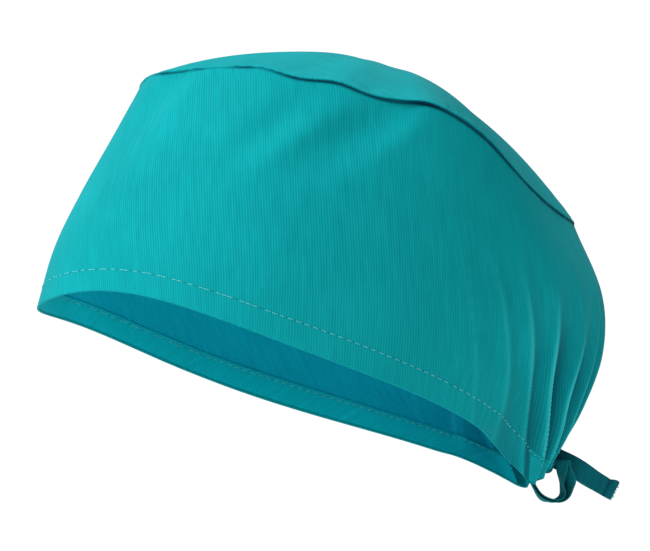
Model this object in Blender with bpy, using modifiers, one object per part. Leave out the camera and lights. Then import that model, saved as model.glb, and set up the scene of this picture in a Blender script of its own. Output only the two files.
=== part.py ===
"""Medical cap: a cloth surgical cap with an oval crown panel, a tall side band and a back tie.

Metres, +Z up. The wearer's front is -Y and the photo's near side is +X. The origin is the
middle of the rim's opening, where the cap sits on a head, and the rim slopes down to the nape.
"""
import math

import bmesh
import bpy
from mathutils import Vector

# Driving sizes of the cap
HALF_LENGTH = 0.0985
HALF_WIDTH = 0.0776
BAND_HEIGHT = 0.100
RIM_PITCH = math.radians(19.6)
CLOTH = 0.0012
HEM_HEIGHT = 0.0084
HEM_THICKNESS = 0.0022
GAP = 0.0004

# Driving sizes of the tie
TAPE_WIDTH = 0.0080
TAPE_THICKNESS = 0.0012
KNOT_SHARES = (0.69, 0.875, 1.06)

# Level sections of the band, from the rim to the crown seam. height is a share of the band's
# height; centre, front and back are shares of the half length; width is a share of the half width.
SECTIONS = {
    "height": (0.00, 0.25, 0.50, 0.75, 1.00),
    "centre": (-0.22, -0.18, -0.15, -0.12, -0.08),
    "front": (1.055, 1.070, 1.048, 1.012, 0.975),
    "back": (0.876, 0.994, 1.044, 0.988, 0.791),
    "width": (0.987, 1.059, 1.086, 1.073, 1.020),
}

# How square the oval is before and behind its widest place (1 is an ellipse)
FRONT_POWER = 0.893
BACK_POWER = 1.02

# Heights along the rim and the crown seam, as shares of the band's height
RIM_ARCH = 0.075
RIM_QUARTERS = {"front": 0.029, "back": 0.044}
SEAM_HEIGHT = {"front": 0.944, "side": 1.111, "back": 1.007}
SEAM_QUARTERS = {"front": -0.034, "back": -0.084}
CROWN_TOP = 1.317
CROWN_CENTRE = -0.08
DOME_POWER = {"front": 1.845, "back": 2.11}

# Soft rises and dips of the crown seam: angle and spread in degrees from the front, height as a
# share of the band's height
SEAM_WAVES = [
    {"angle": 67.6, "spread": 9, "height": -0.044},
    {"angle": 84.4, "spread": 9, "height": -0.059},
    {"angle": 113.7, "spread": 11, "height": 0.016},
]

# The casing is drawn in at the back: the cloth between GATHER_START and the centre back is
# crowded into the last degrees of the rim's oval and lifted into a notch over the knot. Beyond
# CRUSHED_FROM the casing is pressed to the plain cloth's thickness.
GATHER_START = 152.0
GATHER_OVAL = 164.0
GATHER_LEAD = 138.0
CORNER_OUT = 0.138
CORNER_DROP = -0.040
NOTCH_RISE = 0.222
NOTCH_PINCH = 0.60
CRUSHED_FROM = 148.0

# Gathered folds at the back: angles in degrees from the front at the hem and where the fold
# fades out, spread in degrees, height outwards as a share of FOLD_DEPTH, reach as a share of the
# band's height
FOLD_DEPTH = 0.0022
FOLDS = [
    {"hem": 150.0, "top": 139.0, "spread": 3.0, "out": 0.73, "reach": 0.85},
    {"hem": 154.0, "top": 145.5, "spread": 3.0, "out": -1.00, "reach": 0.75},
    {"hem": 158.5, "top": 151.5, "spread": 2.6, "out": 0.73, "reach": 0.85},
    {"hem": 162.5, "top": 157.5, "spread": 2.8, "out": -0.64, "reach": 0.70},
    {"hem": 167.0, "top": 164.0, "spread": 2.8, "out": 0.73, "reach": 0.85},
    {"hem": 172.5, "top": 172.0, "spread": 3.0, "out": -0.73, "reach": 0.70},
    {"hem": 134.0, "top": 131.0, "spread": 4.0, "out": -0.45, "reach": 0.75},
]

# Soft dents of the side: angle and spread in degrees, height and tall as shares of the band's
# height, lean in degrees of angle for one band height, depth as a share of DENT_DEPTH
DENT_DEPTH = 0.0014
DENTS = [
    {"angle": 84, "spread": 8, "height": 0.80, "tall": 0.22, "lean": 34, "depth": 1.0},
    {"angle": 66, "spread": 7, "height": 0.78, "tall": 0.22, "lean": 30, "depth": 0.7},
    {"angle": 24, "spread": 7, "height": 0.86, "tall": 0.20, "lean": 12, "depth": 0.7},
]

# Columns and rows of the cloth's mesh
SIDE_STEP = 7.5
GATHER_STEP = 2.5
GATHER_MESH_START = 135.0
HEM_STEP = 0.004
BAND_ROWS = (0.17, 0.29, 0.41, 0.53, 0.65, 0.77, 0.89, 1.0)
CROWN_RINGS = 7

# The tie's middle lines: back, up and side as shares of the tape's width, from the centre back of
# the rim's notch, and turn, the tape's twist about its own line in degrees (0 has its width
# across the cap)
LOOP_ROUTE = [
    {"back": -1.20, "up": -1.12, "side": 0.12, "turn": 0},
    {"back": -1.04, "up": -1.84, "side": 0.25, "turn": 0},
    {"back": -0.78, "up": -2.30, "side": 0.30, "turn": 0},
    {"back": -0.36, "up": -2.56, "side": 0.30, "turn": 5},
    {"back": 0.10, "up": -2.56, "side": 0.25, "turn": 10},
    {"back": 0.46, "up": -2.28, "side": 0.25, "turn": 16},
    {"back": 0.50, "up": -1.78, "side": 0.25, "turn": 18},
    {"back": 0.43, "up": -1.22, "side": 0.32, "turn": 16},
    {"back": 0.41, "up": -0.62, "side": 0.42, "turn": 16},
]
END_ROUTE = [
    {"back": 0.19, "up": -0.45, "side": -0.38, "turn": 90},
    {"back": 1.06, "up": -0.82, "side": -0.50, "turn": 90},
    {"back": 2.02, "up": -1.42, "side": -0.55, "turn": 80},
    {"back": 3.10, "up": -2.04, "side": -0.55, "turn": 66},
]
FAR_ROUTE = [
    {"back": -1.50, "up": -0.75, "side": -0.15, "turn": 0},
    {"back": -1.19, "up": -0.88, "side": -0.12, "turn": 0},
    {"back": -0.81, "up": -0.77, "side": -0.10, "turn": 0},
]
KNOT_PLACE = {"back": -0.32, "up": -0.72, "side": 0.00}
TAPE_STEPS = 3

COLOURS = {
    "band": (0.0, 0.34, 0.38),
    "crown": (0.0, 0.36, 0.40),
    "tape": (0.0, 0.14, 0.17),
}


def clear_scene():
    for thing in list(bpy.data.objects):
        bpy.data.objects.remove(thing, do_unlink=True)


def parts_collection():
    collection = bpy.data.collections.new("medical_cap")
    bpy.context.scene.collection.children.link(collection)
    return collection


def cloth_material(name, colour):
    material = bpy.data.materials.new(name)
    material.use_nodes = True
    shader = material.node_tree.nodes["Principled BSDF"]
    shader.inputs["Base Color"].default_value = (*colour, 1.0)
    shader.inputs["Roughness"].default_value = 0.85
    shader.inputs["Metallic"].default_value = 0.0
    return material


def ease(value):
    """Smooth step from 0 to 1."""
    value = min(max(value, 0.0), 1.0)
    return value * value * (3.0 - 2.0 * value)


def bell(distance, spread):
    return math.exp(-((distance / spread) ** 2))


def section_value(column, share):
    """Value of one column of SECTIONS at a height share, on a smooth curve through its rows."""
    heights, values = SECTIONS["height"], SECTIONS[column]
    last = len(values) - 1
    row = max(number for number in range(last) if number == 0 or heights[number] <= share)
    step = (share - heights[row]) / (heights[row + 1] - heights[row])
    here, ahead = values[row], values[row + 1]
    before = values[row - 1] if row > 0 else 2 * here - ahead
    beyond = values[row + 2] if row + 2 <= last else 2 * ahead - here
    slope_here = (ahead - before) / 2
    slope_ahead = (beyond - here) / 2
    square, cube = step * step, step ** 3
    return ((2 * cube - 3 * square + 1) * here + (cube - 2 * square + step) * slope_here
            + (3 * square - 2 * cube) * ahead + (cube - square) * slope_ahead)


def drawn_angle(angle, share):
    """Angle on the oval in degrees, with the back cloth crowded together towards the hem."""
    if angle <= 90:
        drawn = angle
    elif angle <= GATHER_START:
        drawn = 90 + (angle - 90) * (GATHER_OVAL - 90) / (GATHER_START - 90)
    else:
        rest = (180 - GATHER_OVAL) / (180 - GATHER_START)
        drawn = GATHER_OVAL + (angle - GATHER_START) * rest
    return angle + (drawn - angle) * (1 - share) ** 2


def rim_height(angle):
    """Height of the rim over its plane, as a share of the band's height."""
    cosine = math.cos(math.radians(angle))
    quarter = RIM_QUARTERS["front" if cosine > 0 else "back"]
    side = 1 - cosine ** 2
    notch = ease((angle - GATHER_START + 3) / (183 - GATHER_START))
    corner = ease((angle - GATHER_LEAD) / (GATHER_START - GATHER_LEAD))
    return (RIM_ARCH * side + quarter * 4 * side * cosine ** 2
            + NOTCH_RISE * notch + CORNER_DROP * corner)


def seam_height(angle):
    """Height of the crown seam over the rim's plane, as a share of the band's height."""
    cosine = math.cos(math.radians(angle))
    end = "front" if cosine > 0 else "back"
    side = 1 - cosine ** 2
    height = SEAM_HEIGHT[end] * cosine ** 2 + SEAM_HEIGHT["side"] * side
    height += SEAM_QUARTERS[end] * 4 * side * cosine ** 2
    return height + sum(wave["height"] * bell(angle - wave["angle"], wave["spread"])
                        for wave in SEAM_WAVES)


def relief(angle, share):
    """How far the cloth stands out of its plain form, in metres."""
    out = 0.0
    for fold in FOLDS:
        middle = fold["hem"] + (fold["top"] - fold["hem"]) * share / fold["reach"]
        fade = 1 - ease(share / fold["reach"])
        out += FOLD_DEPTH * fold["out"] * bell(angle - middle, fold["spread"]) * fade
    for dent in DENTS:
        middle = dent["angle"] + dent["lean"] * (share - dent["height"])
        out -= DENT_DEPTH * dent["depth"] * bell(angle - middle, dent["spread"]) * bell(
            share - dent["height"], dent["tall"])
    return out


def placed(side, back, up):
    """World point from a place across, back along and up from the rim's plane."""
    return Vector((side,
                   back * math.cos(RIM_PITCH) + up * math.sin(RIM_PITCH),
                   up * math.cos(RIM_PITCH) - back * math.sin(RIM_PITCH)))


def band_place(angle, share):
    """Side, back and up of the band's outer face; the angle runs from -180 to 180."""
    turn = abs(angle)
    oval = math.radians(drawn_angle(turn, share))
    ahead = math.cos(oval) > 0
    power = FRONT_POWER if ahead else BACK_POWER
    centre = section_value("centre", share)
    reach = section_value("front", share) + centre if ahead else section_value("back", share) - centre
    along = abs(math.cos(oval)) ** power * (-1 if ahead else 1)
    back = HALF_LENGTH * (centre + reach * along)
    pinch = NOTCH_PINCH * ease((math.degrees(oval) - 143) / 22) * (1 - share) ** 4
    side = HALF_WIDTH * section_value("width", share) * math.sin(oval) ** power * (1 - pinch)
    corner = ease((turn - GATHER_LEAD) / (GATHER_START - GATHER_LEAD))
    back += BAND_HEIGHT * CORNER_OUT * corner * (1 - share) ** 3
    up = BAND_HEIGHT * (rim_height(turn) * (1 - share) + seam_height(turn) * share)
    normal = Vector((math.sin(oval) / HALF_WIDTH, -math.cos(oval) / HALF_LENGTH)).normalized()
    out = relief(turn, share)
    side = math.copysign(1.0, angle) * (side + normal.x * out)
    return side, back + normal.y * out, up


def crown_place(angle, reach):
    """Side, back and up of the crown panel's outer face, at a share of the way to its seam."""
    side, back, up = band_place(angle, 1.0)
    top = CROWN_TOP * BAND_HEIGHT
    middle = CROWN_CENTRE * HALF_LENGTH
    blend = (1 - math.cos(math.radians(angle))) / 2
    power = DOME_POWER["front"] + (DOME_POWER["back"] - DOME_POWER["front"]) * blend
    return side * reach, middle + (back - middle) * reach, up + (top - up) * (1 - reach ** power)


def column_angles():
    """Angles of the mesh's columns, closer together over the gathers."""
    front = int(GATHER_MESH_START / SIDE_STEP)
    angles = [SIDE_STEP * count for count in range(-front, front + 1)]
    count = round(2 * (180 - GATHER_MESH_START) / GATHER_STEP)
    for number in range(1, count):
        angle = GATHER_MESH_START + GATHER_STEP * number
        angles.append(angle if angle <= 180 else angle - 360)
    return angles


def new_object(name, mesh_builder, material, collection):
    """One object from an open sheet."""
    mesh = bpy.data.meshes.new(name)
    sheet = bmesh.new()
    mesh_builder(sheet)
    bmesh.ops.recalc_face_normals(sheet, faces=sheet.faces)
    sheet.to_mesh(mesh)
    sheet.free()
    thing = bpy.data.objects.new(name, mesh)
    collection.objects.link(thing)
    mesh.materials.append(material)
    mesh.shade_smooth()
    return thing


def thicken(thing, thickness, offset):
    solid = thing.modifiers.new("thickness", "SOLIDIFY")
    solid.thickness = thickness
    solid.offset = offset
    solid.use_even_offset = False
    return solid


def loft_rings(sheet, rings):
    """Joins closed rings of points one after another with faces."""
    rows = [[sheet.verts.new(point) for point in ring] for ring in rings]
    for low, high in zip(rows, rows[1:]):
        for number in range(len(low)):
            after = (number + 1) % len(low)
            sheet.faces.new((low[number], low[after], high[after], high[number]))
    return rows


def band_shares():
    """Height shares of the band's rows, with two close rows at the hem's upper edge."""
    edge = HEM_HEIGHT / BAND_HEIGHT
    below_seam = 1 - (CLOTH + GAP) / BAND_HEIGHT
    return [0.0, edge / 2, edge - HEM_STEP, edge + HEM_STEP,
            *(share * below_seam for share in BAND_ROWS)]


def build_band(collection):
    """Side band, thicker where its lower edge is turned up into the casing and isn't crushed."""
    angles = column_angles()
    shares = band_shares()

    def fill(sheet):
        loft_rings(sheet, [[placed(*band_place(angle, share)) for angle in angles]
                           for share in shares])

    band = new_object("side_band", fill, cloth_material("band_cloth", COLOURS["band"]), collection)
    hem = band.vertex_groups.new(name="hem")
    hem_rows = sum(share * BAND_HEIGHT < HEM_HEIGHT for share in shares)
    plain = [number for number, angle in enumerate(angles) if abs(angle) <= CRUSHED_FROM]
    hem.add([row * len(angles) + number for row in range(hem_rows) for number in plain],
            1.0, "REPLACE")
    solid = thicken(band, HEM_THICKNESS, -1.0)
    solid.vertex_group = hem.name
    solid.thickness_vertex_group = CLOTH / HEM_THICKNESS
    return band


def build_crown(collection):
    """Oval crown panel, domed over the band."""
    angles = column_angles()

    def fill(sheet):
        reaches = [1 - number / CROWN_RINGS for number in range(CROWN_RINGS)]
        rows = loft_rings(sheet, [[placed(*crown_place(angle, reach)) for angle in angles]
                                  for reach in reaches])
        bmesh.ops.contextual_create(sheet, geom=rows[-1])
        bmesh.ops.poke(sheet, faces=[face for face in sheet.faces if len(face.verts) > 4])
        top = max(sheet.verts, key=lambda vert: len(vert.link_edges))
        top.co = placed(*crown_place(0.0, 0.0))

    crown = new_object("crown_panel", fill, cloth_material("crown_cloth", COLOURS["crown"]),
                       collection)
    thicken(crown, CLOTH, -1.0)
    return crown


def notch_point(row):
    """World point of a route's row, measured from the centre back of the rim's notch."""
    origin = placed(*band_place(180.0, 0.0))
    return origin + TAPE_WIDTH * Vector((row["side"], row["back"], row["up"]))


def smooth_route(route):
    """Points and twists along a smooth curve through the route's rows."""
    points = [notch_point(row) for row in route]
    turns = [row["turn"] for row in route]
    result = []
    for number in range(len(points) - 1):
        here, ahead = points[number], points[number + 1]
        before = points[number - 1] if number > 0 else 2 * here - ahead
        beyond = points[number + 2] if number + 2 < len(points) else 2 * ahead - here
        for part in range(TAPE_STEPS):
            step = part / TAPE_STEPS
            square, cube = step * step, step ** 3
            point = ((2 * cube - 3 * square + 1) * here
                     + (cube - 2 * square + step) * (ahead - before) / 2
                     + (3 * square - 2 * cube) * ahead + (cube - square) * (beyond - here) / 2)
            turn = turns[number] + (turns[number + 1] - turns[number]) * step
            result.append((point, math.radians(turn)))
    result.append((points[-1], math.radians(turns[-1])))
    return result


def build_tape(name, route, material, collection):
    """Flat tape along a route, wide across the cap and turned about its own line."""
    line = smooth_route(route)

    def fill(sheet):
        across = Vector((1.0, 0.0, 0.0))
        rows = []
        for number, (point, turn) in enumerate(line):
            before = line[max(number - 1, 0)][0]
            after = line[min(number + 1, len(line) - 1)][0]
            along = (after - before).normalized()
            level = (across - along * across.dot(along)).normalized()
            upright = along.cross(level)
            width = level * math.cos(turn) + upright * math.sin(turn)
            half = width * TAPE_WIDTH / 2
            rows.append([sheet.verts.new(point + half * share) for share in (-1.0, 0.0, 1.0)])
        for low, high in zip(rows, rows[1:]):
            for number in range(2):
                sheet.faces.new((low[number], low[number + 1], high[number + 1], high[number]))

    tape = new_object(name, fill, material, collection)
    thicken(tape, TAPE_THICKNESS, 0.0)
    return tape


def build_knot(material, collection):
    """Small round knot of the two ties, behind the gathers."""
    mesh = bpy.data.meshes.new("tie_knot")
    ball = bmesh.new()
    bmesh.ops.create_uvsphere(ball, u_segments=14, v_segments=8, radius=0.5)
    bmesh.ops.scale(ball, vec=TAPE_WIDTH * Vector(KNOT_SHARES), verts=ball.verts)
    ball.to_mesh(mesh)
    ball.free()
    knot = bpy.data.objects.new("tie_knot", mesh)
    knot.location = notch_point(KNOT_PLACE)
    collection.objects.link(knot)
    mesh.materials.append(material)
    mesh.shade_smooth()
    return knot


def main():
    clear_scene()
    collection = parts_collection()
    build_band(collection)
    build_crown(collection)
    tape = cloth_material("tape_cloth", COLOURS["tape"])
    build_tape("tie_loop", LOOP_ROUTE, tape, collection)
    build_tape("tie_end", END_ROUTE, tape, collection)
    build_tape("tie_far", FAR_ROUTE, tape, collection)
    build_knot(tape, collection)


main()
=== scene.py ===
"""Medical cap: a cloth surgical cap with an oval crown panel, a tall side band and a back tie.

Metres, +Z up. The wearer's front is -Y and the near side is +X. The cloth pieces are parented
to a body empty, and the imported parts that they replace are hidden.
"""
import math

import bmesh
import bpy
from bpy.props import FloatProperty, FloatVectorProperty, IntProperty, PointerProperty
from mathutils import Euler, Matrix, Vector, noise


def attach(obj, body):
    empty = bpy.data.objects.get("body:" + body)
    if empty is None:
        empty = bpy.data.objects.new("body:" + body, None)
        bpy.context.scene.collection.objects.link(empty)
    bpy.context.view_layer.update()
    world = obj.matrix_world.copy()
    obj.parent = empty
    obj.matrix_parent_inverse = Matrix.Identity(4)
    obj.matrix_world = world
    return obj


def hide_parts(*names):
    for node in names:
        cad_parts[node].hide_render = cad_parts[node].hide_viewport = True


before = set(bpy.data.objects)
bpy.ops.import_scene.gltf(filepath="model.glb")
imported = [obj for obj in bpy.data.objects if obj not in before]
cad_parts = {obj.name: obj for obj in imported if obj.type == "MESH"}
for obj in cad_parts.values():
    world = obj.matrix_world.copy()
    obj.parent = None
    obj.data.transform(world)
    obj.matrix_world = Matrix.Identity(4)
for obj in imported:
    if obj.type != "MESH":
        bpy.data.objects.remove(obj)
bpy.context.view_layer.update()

bl_info = {
    "name": "Medical cap",
    "version": (1, 0, 0),
    "blender": (4, 5, 0),
    "location": "View3D > Sidebar > Medical cap",
    "description": "Sews a cloth medical cap and sets up its studio",
    "category": "Add Mesh",
}

# Level sections of the band, from the rim to the crown seam. height is a share of the band's
# height; centre, front and back are shares of the half length; width is a share of the half width.
SECTIONS = {
    "height": (0.00, 0.25, 0.50, 0.75, 1.00),
    "centre": (-0.22, -0.18, -0.15, -0.12, -0.08),
    "front": (1.055, 1.070, 1.048, 1.012, 0.975),
    "back": (0.876, 0.994, 1.044, 0.988, 0.791),
    "width": (0.987, 1.059, 1.086, 1.073, 1.020),
}

# How square the oval is before and behind its widest place (1 is an ellipse)
FRONT_POWER = 0.893
BACK_POWER = 1.02

# Heights along the rim and the crown seam, as shares of the band's height
RIM_ARCH = 0.075
RIM_QUARTERS = {"front": 0.029, "back": 0.044}
SEAM_HEIGHT = {"front": 0.944, "side": 1.111, "back": 1.007}
SEAM_QUARTERS = {"front": -0.034, "back": -0.084}
CROWN_TOP = 1.317
CROWN_CENTRE = -0.08
DOME_POWER = {"front": 1.845, "back": 2.11}

# Soft rises and dips of the crown seam: angle and spread in degrees from the front, height as a
# share of the band's height
SEAM_WAVES = [
    {"angle": 67.6, "spread": 9, "height": -0.044},
    {"angle": 84.4, "spread": 9, "height": -0.059},
    {"angle": 113.7, "spread": 11, "height": 0.016},
]

# The casing is drawn in at the back and lifted into a notch over the knot
GATHER_START = 152.0
GATHER_OVAL = 164.0
GATHER_LEAD = 138.0
CORNER_OUT = 0.138
CORNER_DROP = -0.040
NOTCH_RISE = 0.222
NOTCH_PINCH = 0.60

# Gathered folds at the back: the crest's angle in degrees from the front at the hem, at 0.3 and
# at 0.6 of the band's height, and the fold's height as a share of the fold depth
FOLDS = [
    {"hem": 131.0, "middle": 120.5, "top": 111.0, "height": 0.06},
    {"hem": 140.0, "middle": 129.5, "top": 119.0, "height": 0.16},
    {"hem": 147.5, "middle": 137.0, "top": 127.5, "height": 0.42},
    {"hem": 153.5, "middle": 143.6, "top": 138.6, "height": 0.95},
    {"hem": 160.0, "middle": 150.2, "top": 151.2, "height": 1.00},
    {"hem": 165.5, "middle": 159.8, "top": 160.8, "height": 0.85},
    {"hem": 171.0, "middle": 168.0, "top": 168.5, "height": 0.80},
    {"hem": 177.0, "middle": 176.0, "top": 176.0, "height": 0.70},
]

# Soft dents of the side: angle and spread in degrees, height and tall as shares of the band's
# height, lean in degrees of angle for one band height, depth as a share of the dent depth
DENTS = [
    {"angle": 84, "spread": 7, "height": 0.80, "tall": 0.24, "lean": 34, "depth": 0.9},
    {"angle": 93, "spread": 3.5, "height": 0.84, "tall": 0.17, "lean": 30, "depth": -0.35},
    {"angle": 76, "spread": 3.2, "height": 0.80, "tall": 0.20, "lean": 36, "depth": -0.25},
    {"angle": 66, "spread": 5, "height": 0.78, "tall": 0.22, "lean": 30, "depth": 0.55},
    {"angle": 24, "spread": 7, "height": 0.86, "tall": 0.20, "lean": 12, "depth": 0.7},
    {"angle": 36, "spread": 4, "height": 0.88, "tall": 0.16, "lean": 22, "depth": -0.30},
    {"angle": 120, "spread": 8, "height": 0.72, "tall": 0.26, "lean": -14, "depth": 0.45},
]

# Places where the crown seam gapes or puckers a little more: angle, spread, share of the groove
SEAM_GAPES = [
    {"angle": 19, "spread": 3.5, "gape": 0.45},
    {"angle": 37, "spread": 2.5, "gape": 0.45},
    {"angle": 51, "spread": 3.0, "gape": 0.60},
    {"angle": 95, "spread": 4.0, "gape": 0.35},
]

# The tie's middle lines: back, up and side as shares of the tape's width, from the centre back of
# the rim's notch, and turn, the tape's twist about its own line in degrees
LOOP_ROUTE = [
    {"back": -1.20, "up": -1.12, "side": 0.12, "turn": 8},
    {"back": -1.04, "up": -1.84, "side": 0.25, "turn": 7},
    {"back": -0.78, "up": -2.30, "side": 0.30, "turn": 5},
    {"back": -0.36, "up": -2.56, "side": 0.30, "turn": 3},
    {"back": 0.10, "up": -2.56, "side": 0.25, "turn": 6},
    {"back": 0.46, "up": -2.28, "side": 0.25, "turn": 12},
    {"back": 0.50, "up": -1.78, "side": 0.25, "turn": 16},
    {"back": 0.43, "up": -1.22, "side": 0.32, "turn": 22},
    {"back": 0.36, "up": -0.62, "side": 0.42, "turn": 30},
]
END_ROUTE = [
    {"back": 0.19, "up": -0.45, "side": -0.38, "turn": 90},
    {"back": 1.06, "up": -0.82, "side": -0.50, "turn": 90},
    {"back": 2.02, "up": -1.42, "side": -0.55, "turn": 80},
    {"back": 3.10, "up": -2.04, "side": -0.55, "turn": 66},
]
FAR_ROUTE = [
    {"back": -2.10, "up": -0.70, "side": -0.30, "turn": 0},
    {"back": -1.50, "up": -0.75, "side": -0.15, "turn": 0},
    {"back": -1.19, "up": -0.88, "side": -0.12, "turn": 0},
    {"back": -0.81, "up": -0.77, "side": -0.10, "turn": 0},
]
KNOT_PLACE = {"back": -0.32, "up": -0.72, "side": 0.00}

MILLIMETRE = 0.001

# Where the gathers' denser mesh begins and where the casing's cloth is pressed together: degrees
DENSE_FROM = 122.0
PRESSED_FROM = 138.0

# Radius of the crown's rolled lip, and the seam allowance turned in under it: out and up in metres
LIP_ROLL = 0.00052
LIP_TUCK = ((-0.0005, -0.00106), (-0.0010, -0.00112), (-0.0014, -0.0015),
            (-0.0015, -0.0025), (-0.0015, -0.0045), (-0.0015, -0.0070))

# How far the crown stands over its seam, and its broad and fine crumples there, in metres
CROWN_LIFT = 0.00035
CRUMPLES = 0.00045
FINE_CRUMPLES = 0.00050

# The crown seam, in metres: its groove where it gapes, its lip where it stands out, and how
# far below the groove the band ends
SEAM_GROOVE = 0.00062
SEAM_LIP = 0.00075
EDGE_BELOW = 0.0004

# Unevenness of the band's cloth, in metres: its swell over the gathered corner, its waver all
# over and its pucker along the crown seam
CORNER_SWELL = 0.0010
CLOTH_WAVER = 0.00060
SEAM_PUCKER = 0.00030

# The band's top edge tucked under the lip: up and inward in millimetres
BAND_TUCK = ((0.0, 0.00), (0.12, 0.10), (0.28, 0.30), (0.38, 0.62))

# The casing, in millimetres: its inside from the turned edge down to the rim, as up and inward,
# and its rows up the outside; and how far in its stitched inner layer lies, in metres
CASING_INSIDE = ((8.9, 0.45), (9.6, 0.62), (9.9, 0.92), (9.6, 1.06), (9.0, 1.06), (8.4, 1.00),
                 (7.6, 1.05), (6.0, 1.05), (4.5, 1.05), (3.0, 1.05), (1.6, 1.05), (0.7, 1.05))
CASING_OUTSIDE = (0.5, 1.1, 2.0, 3.2, 4.6, 6.0, 7.1, 7.8, 8.2, 8.4, 8.6, 9.0, 9.7, 10.6)
CASING_DEPTH = 0.00105

# Rows of the band's mesh over the casing, and the shares of its height that end them
BAND_ROWS = 62
BAND_TOP_ROWS = (0.972, 0.978, 0.983, 0.987)

# A stitch of the hem, in metres: its width, its thickness and how far it bows out
STITCH_WIDTH = 0.00042
STITCH_THICKNESS = 0.00030
STITCH_BOW = 0.00010

# Radius of the ties' long fold, the turned length at the free end and the ties' cloth
TIE_ROLL = 0.00034
TIE_HEM = 0.0032
TIE_CLOTH = 0.00038

# Unevenness of the ties, in metres: the gape and the crease of the turned end, the ripple
# across a tie and the wave along it
TIE_END_GAPE = 0.0011
TIE_END_CREASE = 0.0005
TIE_RIPPLE = 0.00012
TIE_WAVE = 0.00018

# Frayed threads of the cut end: their number, and in metres the radius at the root and at the
# tip, the least length and how much longer the longest may be
FRAYED_COUNT = 26
FRAYED_ROOT = 0.00011
FRAYED_TIP = 0.00004
FRAYED_LENGTH = 0.0011
FRAYED_LONGER = 0.0009

# Places along a tie where its open edge gapes: share of its length, spread and width in metres
LOOP_GAPES = [
    {"at": 0.76, "spread": 0.13, "width": 0.0026},
    {"at": 0.30, "spread": 0.16, "width": 0.0003},
]
END_GAPES = [{"at": 1.0, "spread": 0.08, "width": 0.0014}]

# The knot's wraps: shape and tilt in degrees, and the knot's size as shares of the tape's width
WRAPS = [
    {"shape": (0.74, 1.0, 1.0), "tilt": 0.0},
    {"shape": (0.80, 0.80, 0.92), "tilt": 62.0},
    {"shape": (0.90, 0.70, 0.80), "tilt": 118.0},
]
KNOT_SIZE = (0.69, 0.875, 1.06)

# Twills: colour in the finish, lean of the ribs in degrees, pitch as a share of the rib pitch, and
# the brightness of the ribs and of the grooves
TWILLS = {
    "cap twill face": {"colour": "face", "lean": -27.0, "pitch": 1.0, "tones": (1.26, 0.72)},
    "cap twill back": {"colour": "back", "lean": 47.0, "pitch": 0.92, "tones": (1.26, 0.72)},
    "hem twill inside": {"colour": "hem", "lean": 33.0, "pitch": 0.92, "tones": (1.26, 0.72)},
    "crown twill face": {"colour": "face", "lean": 45.0, "pitch": 1.0, "tones": (1.26, 0.72)},
    "tie twill": {"colour": "tie", "lean": 82.0, "pitch": 0.62, "tones": (1.6, 0.45)},
    # The free tie's twill is darker as painted shade
    "tie twill back": {"colour": "tie_back_shaded", "lean": 70.0, "pitch": 0.62, "tones": (1.5, 0.55)},
}

# Lines along the twills: place in hem heights over the rim, spread in metres, strength, brightness
# and how far they sink. The dark lines at the stitched row are painted shade in the groove that the
# stitches sink; the face's line at the rim is lighter along the fold.
HEM_LINES = {
    "cap twill face": [
        {"at": 0.0, "spread": 0.0007, "strength": 0.30, "tone": 1.9, "sink": 0.0},
        {"at": 1.0, "spread": 0.0006, "strength": 0.42, "tone": 0.25, "sink": 1.1},
        {"at": -1.0, "spread": 0.0006, "strength": 0.35, "tone": 0.25, "sink": 1.1},
    ],
    "cap twill back": [
        {"at": 1.0, "spread": 0.0006, "strength": 0.35, "tone": 0.25, "sink": 1.0},
    ],
    "hem twill inside": [
        {"at": -1.0, "spread": 0.0006, "strength": 0.40, "tone": 0.25, "sink": 1.1},
    ],
}

# The photo's camera and studio; lights have a place, a size in metres and a power in watts
CAP_MIDDLE = (0.0, 0.012, 0.048)
CAMERA_TARGET = (0.0, 0.011761, 0.048156)
CAMERA_TURN = 9.393
CAMERA_RISE = -7.284
CAMERA_DISTANCE = 1.8
CAMERA_LENS = 261.2
FLOOR_HEIGHT = -0.21
LIGHTS = {
    "key light": {"place": (0.55, -1.60, 1.05), "size": 0.6, "power": 30.5},
    "side light": {"place": (1.90, -0.80, 0.30), "size": 0.4, "power": 3.6},
    "low light": {"place": (1.50, 0.50, -0.17), "size": 0.4, "power": 3.0},
    "back light": {"place": (0.55, 1.75, 0.80), "size": 0.4, "power": 1.4},
    "top light": {"place": (-0.2, 0.1, 1.7), "size": 1.0, "power": 13.0},
}


def size_setting(name, description, default, unit="LENGTH"):
    """A length or angle that the sidebar shows."""
    return FloatProperty(name=name, description=description, default=default, unit=unit)


def colour_setting(name, description, default):
    """A colour that the sidebar shows."""
    return FloatVectorProperty(name=name, description=description, default=default,
                               subtype="COLOR", min=0, max=1)


class CapSizes(bpy.types.PropertyGroup):
    half_length: size_setting("Half length", "Half the cap's length along the head", 0.0985)
    half_width: size_setting("Half width", "Half the cap's width across the head", 0.0776)
    band_height: size_setting(
        "Band height", "Height of the side band from the rim to the crown seam", 0.100)
    rim_pitch: size_setting(
        "Rim pitch", "Slope of the rim down to the nape", math.radians(19.6), "ROTATION")
    cloth: size_setting("Cloth", "Thickness of the twill cloth", 0.00045)
    hem_height: size_setting("Hem height", "Height of the stitched row over the rim", 0.0084)
    hem_roll: size_setting("Hem roll", "Radius of the fold at the rim", 0.00052)
    fold_depth: size_setting(
        "Fold depth", "Height of the tallest gathered fold over its valley", 0.0027)
    dent_depth: size_setting("Dent depth", "Depth of the soft dents of the side", 0.0026)
    tape_width: size_setting("Tape width", "Width of the folded tie", 0.0080)
    stitch_length: size_setting("Stitch length", "Length of one stitch of the hem", 0.0025)
    stitch_pitch: size_setting("Stitch pitch", "Distance from one stitch to the next", 0.0033)
    side_columns: IntProperty(
        name="Side columns", description="Columns of cloth mesh from the front to the gathers",
        default=80, min=24)
    gather_columns: IntProperty(
        name="Gather columns", description="Columns of cloth mesh over one side's gathers",
        default=152, min=24)


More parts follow.
